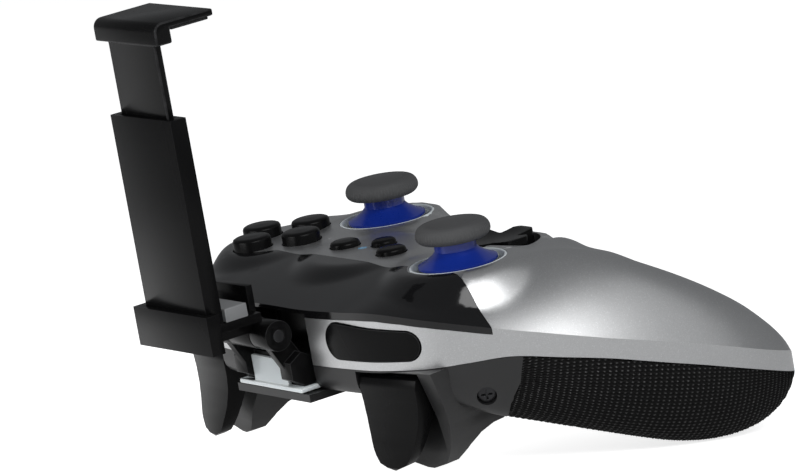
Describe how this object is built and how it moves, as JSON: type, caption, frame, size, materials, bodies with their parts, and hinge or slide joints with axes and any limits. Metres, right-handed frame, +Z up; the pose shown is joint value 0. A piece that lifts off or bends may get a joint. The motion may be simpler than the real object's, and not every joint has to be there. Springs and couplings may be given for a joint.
{
  "type": "mobile game controller",
  "caption": "Hand-held game controller with two thumb sticks, direction pad, buttons and triggers, and a tilting spring-clamp holder hinged to its front edge.",
  "frame": {"origin": "middle of the footprint, on the table that the handles and trigger guards stand on", "axes": "+X to the user's right, +Y forward away from the user, +Z up"},
  "size_m": [0.154, 0.1507, 0.1168],
  "materials": {
    "silver_paint": "satin metallic paint",
    "black_satin": "satin moulded",
    "black_matte": "fine matt moulded",
    "black_gloss": "polished",
    "bright_trim": "silver plated",
    "grip_rubber": "fine woven relief",
    "module_plastic": "moulded",
    "blue_plastic": "moulded",
    "stick_rubber": "matt",
    "membrane": "matt",
    "light_pipe": "clear tint",
    "steel": "plain",
    "dark_steel": "blackened",
    "circuit_board": "solder mask",
    "battery_wrap": "wrapped",
    "pad_grey": "matt",
    "pad_black": "matt"
  },
  "bodies": {
    "body": {"top_shell": "silver_paint", "bottom_shell": "black_matte", "front_panel": "black_gloss", "hinge_pocket_trim": "bright_trim", "hinge_pocket_liner": "black_satin", "left_grip": "grip_rubber", "right_grip": "grip_rubber", "left_stick_ring": "bright_trim", "right_stick_ring": "bright_trim", "left_stick_case": "module_plastic", "right_stick_case": "module_plastic", "dpad_frame": "module_plastic", "face_button_membrane": "membrane", "menu_button_membrane": "membrane", "status_light": "light_pipe", "left_trigger_bracket": "module_plastic", "right_trigger_bracket": "module_plastic", "left_trigger_pin": "steel", "right_trigger_pin": "steel", "left_trigger_spring": "steel", "right_trigger_spring": "steel", "main_board": "circuit_board", "battery": "battery_wrap", "usb_socket": "steel", "case_screws": "dark_steel", "hinge_bracket": "black_satin", "hinge_pin": "dark_steel"},
    "left_yoke": {"left_stick_yoke": "module_plastic"},
    "left_rocker": {"left_stick_rocker": "module_plastic"},
    "left_stick": {"left_stick_stem": "blue_plastic", "left_stick_cap": "stick_rubber"},
    "left_bumper": {"left_bumper": "black_satin"},
    "left_trigger": {"left_trigger": "black_satin"},
    "right_yoke": {"right_stick_yoke": "module_plastic"},
    "right_rocker": {"right_stick_rocker": "module_plastic"},
    "right_stick": {"right_stick_stem": "blue_plastic", "right_stick_cap": "stick_rubber"},
    "right_bumper": {"right_bumper": "black_satin"},
    "right_trigger": {"right_trigger": "black_satin"},
    "dpad_cross": {"dpad_spider": "module_plastic"},
    "dpad": {"dpad": "black_satin"},
    "north_button": {"north_button": "black_satin"},
    "south_button": {"south_button": "black_satin"},
    "east_button": {"east_button": "black_satin"},
    "west_button": {"west_button": "black_satin"},
    "select_button": {"select_button": "black_satin"},
    "start_button": {"start_button": "black_satin"},
    "home_button": {"home_button": "black_satin"},
    "holder": {"holder_foot": "black_satin", "knuckle_rings": "black_satin", "holder_sleeve": "black_satin", "holder_screws": "dark_steel", "bar_brake": "steel", "lower_jaw_pad": "pad_grey", "back_pad": "pad_black"},
    "bar": {"holder_bar": "black_satin", "upper_jaw_pad": "pad_black"}
  },
  "joints": [
    {"name": "left_stick_pitch", "type": "hinge", "parent": "body", "child": "left_yoke", "pos_m": [-0.04, 0.00622, 0.04464], "axis": [1, 0, 0], "range_deg": [-13, 13], "stiffness_Nm_per_rad": 0.03},
    {"name": "left_stick_roll", "type": "hinge", "parent": "left_yoke", "child": "left_rocker", "pos_m": [-0.04, 0.00622, 0.04464], "axis": [0, 0.99, -0.1409], "range_deg": [-13, 13], "stiffness_Nm_per_rad": 0.03},
    {"name": "left_stick_press", "type": "slide", "parent": "left_rocker", "child": "left_stick", "axis": [0, -0.1409, -0.99], "range_m": [0, 0.0005], "stiffness_N_per_m": 3000},
    {"name": "right_stick_pitch", "type": "hinge", "parent": "body", "child": "right_yoke", "pos_m": [0.0257, -0.01704, 0.04795], "axis": [1, 0, 0], "range_deg": [-13, 13], "stiffness_Nm_per_rad": 0.03},
    {"name": "right_stick_roll", "type": "hinge", "parent": "right_yoke", "child": "right_rocker", "pos_m": [0.0257, -0.01704, 0.04795], "axis": [0, 0.99, -0.1409], "range_deg": [-13, 13], "stiffness_Nm_per_rad": 0.03},
    {"name": "right_stick_press", "type": "slide", "parent": "right_rocker", "child": "right_stick", "axis": [0, -0.1409, -0.99], "range_m": [0, 0.0005], "stiffness_N_per_m": 3000},
    {"name": "dpad_pitch", "type": "hinge", "parent": "body", "child": "dpad_cross", "pos_m": [-0.026, -0.01571, 0.04524], "axis": [1, 0, 0], "range_deg": [-4, 4], "stiffness_Nm_per_rad": 0.2},
    {"name": "dpad_roll", "type": "hinge", "parent": "dpad_cross", "child": "dpad", "pos_m": [-0.026, -0.01571, 0.04524], "axis": [0, 0.99, -0.1409], "range_deg": [-4, 4], "stiffness_Nm_per_rad": 0.2},
    {"name": "north_press", "type": "slide", "parent": "body", "child": "north_button", "axis": [0, -0.1409, -0.99], "range_m": [0, 0.0015], "stiffness_N_per_m": 700},
    {"name": "east_press", "type": "slide", "parent": "body", "child": "east_button", "axis": [0, -0.1409, -0.99], "range_m": [0, 0.0015], "stiffness_N_per_m": 700},
    {"name": "south_press", "type": "slide", "parent": "body", "child": "south_button", "axis": [0, -0.1409, -0.99], "range_m": [0, 0.0015], "stiffness_N_per_m": 700},
    {"name": "west_press", "type": "slide", "parent": "body", "child": "west_button", "axis": [0, -0.1409, -0.99], "range_m": [0, 0.0015], "stiffness_N_per_m": 700},
    {"name": "select_press", "type": "slide", "parent": "body", "child": "select_button", "axis": [0, -0.1409, -0.99], "range_m": [0, 0.0008], "stiffness_N_per_m": 900},
    {"name": "start_press", "type": "slide", "parent": "body", "child": "start_button", "axis": [0, -0.1409, -0.99], "range_m": [0, 0.0008], "stiffness_N_per_m": 900},
    {"name": "home_press", "type": "slide", "parent": "body", "child": "home_button", "axis": [0, -0.1409, -0.99], "range_m": [0, 0.0008], "stiffness_N_per_m": 900},
    {"name": "left_bumper_press", "type": "slide", "parent": "body", "child": "left_bumper", "axis": [0.2848, -0.949, 0.1351], "range_m": [0, 0.001], "stiffness_N_per_m": 1500},
    {"name": "left_trigger_pull", "type": "hinge", "parent": "body", "child": "left_trigger", "pos_m": [-0.03928, 0.01933, 0.02368], "axis": [-0.9877, -0.1549, 0.022], "range_deg": [0, 10], "stiffness_Nm_per_rad": 0.12},
    {"name": "right_bumper_press", "type": "slide", "parent": "body", "child": "right_bumper", "axis": [-0.2848, -0.949, 0.1351], "range_m": [0, 0.001], "stiffness_N_per_m": 1500},
    {"name": "right_trigger_pull", "type": "hinge", "parent": "body", "child": "right_trigger", "pos_m": [0.03928, 0.01933, 0.02368], "axis": [-0.9877, 0.1549, -0.022], "range_deg": [0, 10], "stiffness_Nm_per_rad": 0.12},
    {"name": "holder_tilt", "type": "hinge", "parent": "body", "child": "holder", "pos_m": [0, 0.04352, 0.03347], "axis": [-1, 0, 0], "range_deg": [-20, 60]},
    {"name": "bar_slide", "type": "slide", "parent": "holder", "child": "bar", "axis": [0, 0.1409, 0.99], "range_m": [-0.012, 0.016]}
  ]
}
